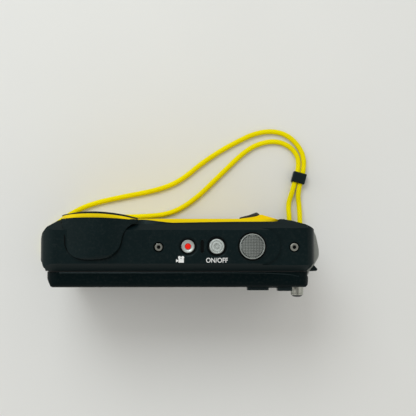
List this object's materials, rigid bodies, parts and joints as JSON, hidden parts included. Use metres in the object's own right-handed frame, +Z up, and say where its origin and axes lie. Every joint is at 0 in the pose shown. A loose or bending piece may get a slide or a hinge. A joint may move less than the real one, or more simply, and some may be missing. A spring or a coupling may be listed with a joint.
{
  "type": "waterproof digital camera",
  "caption": "Compact waterproof digital camera with yellow front plate, folded lens, top buttons, hinged side door and a cord wrist strap lying beside it.",
  "frame": {"origin": "middle of the base on the surface it stands on, measured without the strap", "axes": "+Z up, the lens looks along -Y, the rear display faces +Y, the lens side is +X and the side door is at -X"},
  "size_m": [0.131, 0.0803, 0.0676],
  "materials": {
    "black_plastic": "satin black",
    "black_trim": "satin",
    "yellow_plastic": "satin",
    "grip_rubber": "fine grain",
    "seal_rubber": "smooth",
    "silver_buttons": "machined",
    "silver_door": "satin",
    "steel": "plain",
    "brass": "turned",
    "glass": "coated",
    "clear_plastic": "moulded",
    "lamp_plastic": "smoked",
    "red_plastic": "gloss",
    "board": "solder mask",
    "display_black": "dark glass",
    "cell": "plain",
    "card": "plain",
    "lens_carrier": "matte",
    "reflector": "bright",
    "cord": "braided"
  },
  "bodies": {
    "camera": {"main_shell": "black_plastic", "lens_cowl": "black_plastic", "rear_cover": "black_plastic", "strap_link": "black_plastic", "lens_ring": "black_trim", "lens_housing": "black_trim", "battery_bay": "black_trim", "front_plate": "yellow_plastic", "grip_pad": "grip_rubber", "body_gasket": "seal_rubber", "button_seals": "seal_rubber", "case_screws": "steel", "cover_screws": "steel", "shutter_spring": "steel", "power_spring": "steel", "record_spring": "steel", "inner_chassis": "steel", "guide_rods": "steel", "rocker_pin": "steel", "door_pin": "steel", "strap_pin": "steel", "card_slot": "steel", "usb_socket": "steel", "tripod_socket": "brass", "lens_window": "glass", "front_element": "glass", "prism": "glass", "flash_window": "clear_plastic", "display_window": "clear_plastic", "focus_lamp": "lamp_plastic", "power_lamp": "lamp_plastic", "main_board": "board", "top_board": "board", "rear_board": "board", "image_sensor": "board", "display_panel": "display_black", "battery": "cell", "memory_card": "card", "flash_reflector": "reflector", "strap_cord": "cord"},
    "shutter": {"shutter_button": "silver_buttons"},
    "power": {"power_button": "silver_buttons"},
    "record": {"record_button": "silver_buttons", "record_dot": "red_plastic"},
    "rocker": {"zoom_rocker": "black_trim"},
    "gimbal": {"nav_cross": "black_trim"},
    "direction": {"nav_ring": "black_trim"},
    "ok": {"ok_button": "silver_buttons"},
    "mode": {"mode_key": "black_trim"},
    "delete": {"delete_key": "black_trim"},
    "play": {"play_key": "black_trim"},
    "menu": {"menu_key": "black_trim"},
    "knob": {"lock_knob": "silver_buttons", "knob_tip": "black_trim"},
    "door": {"side_door": "silver_door", "door_gasket": "seal_rubber"},
    "latch": {"door_latch": "black_trim"},
    "zoom": {"zoom_group": "lens_carrier"},
    "focus": {"focus_group": "lens_carrier"},
    "bead": {"strap_bead": "black_trim"}
  },
  "joints": [
    {"name": "shutter_press", "type": "slide", "parent": "camera", "child": "shutter", "axis": [0, 0, -1], "range_m": [0, 0.001], "stiffness_N_per_m": 400, "springref_m": -0.0006, "deforming": ["shutter_spring"]},
    {"name": "power_press", "type": "slide", "parent": "camera", "child": "power", "axis": [0, 0, -1], "range_m": [0, 0.0007], "stiffness_N_per_m": 400, "springref_m": -0.0006, "deforming": ["power_spring"]},
    {"name": "record_press", "type": "slide", "parent": "camera", "child": "record", "axis": [0, 0, -1], "range_m": [0, 0.0007], "stiffness_N_per_m": 400, "springref_m": -0.0006, "deforming": ["record_spring"]},
    {"name": "zoom_rock", "type": "hinge", "parent": "camera", "child": "rocker", "pos_m": [-0.03735, 0.012, 0.054], "axis": [0, 0, 1], "range_deg": [-3, 3], "stiffness_Nm_per_rad": 0.03},
    {"name": "direction_tilt_up", "type": "hinge", "parent": "camera", "child": "gimbal", "pos_m": [-0.036, 0.0114, 0.027], "axis": [1, 0, 0], "range_deg": [-2.5, 2.5], "stiffness_Nm_per_rad": 0.05},
    {"name": "direction_tilt_side", "type": "hinge", "parent": "gimbal", "child": "direction", "pos_m": [-0.036, 0.0114, 0.027], "axis": [0, 0, 1], "range_deg": [-2.5, 2.5], "stiffness_Nm_per_rad": 0.05},
    {"name": "ok_press", "type": "slide", "parent": "camera", "child": "ok", "axis": [0, -1, 0], "range_m": [0, 0.0005], "stiffness_N_per_m": 400, "springref_m": -0.0006},
    {"name": "mode_press", "type": "slide", "parent": "camera", "child": "mode", "axis": [0, -1, 0], "range_m": [0, 0.0005], "stiffness_N_per_m": 400, "springref_m": -0.0006},
    {"name": "delete_press", "type": "slide", "parent": "camera", "child": "delete", "axis": [0, -1, 0], "range_m": [0, 0.0005], "stiffness_N_per_m": 400, "springref_m": -0.0006},
    {"name": "play_press", "type": "slide", "parent": "camera", "child": "play", "axis": [0, -1, 0], "range_m": [0, 0.0005], "stiffness_N_per_m": 400, "springref_m": -0.0006},
    {"name": "menu_press", "type": "slide", "parent": "camera", "child": "menu", "axis": [0, -1, 0], "range_m": [0, 0.0005], "stiffness_N_per_m": 400, "springref_m": -0.0006},
    {"name": "lock_turn", "type": "hinge", "parent": "camera", "child": "knob", "pos_m": [-0.0502, 0.014, 0.0455], "axis": [0, 1, 0], "range_deg": [0, 90]},
    {"name": "door_swing", "type": "hinge", "parent": "camera", "child": "door", "pos_m": [-0.054, -0.01, 0.033], "axis": [0, 0, 1], "range_deg": [0, 100]},
    {"name": "latch_slide", "type": "slide", "parent": "door", "child": "latch", "axis": [0, 0, 1], "range_m": [0, 0.004]},
    {"name": "zoom_slide", "type": "slide", "parent": "camera", "child": "zoom", "axis": [0, 0, 1], "range_m": [-0.008, 0.002]},
    {"name": "focus_slide", "type": "slide", "parent": "camera", "child": "focus", "axis": [0, 0, 1], "range_m": [-0.002, 0.002]},
    {"name": "bead_slide", "type": "slide", "parent": "camera", "child": "bead", "axis": [0.266, 0.964, 0], "range_m": [-0.0012, 0.0012]}
  ]
}
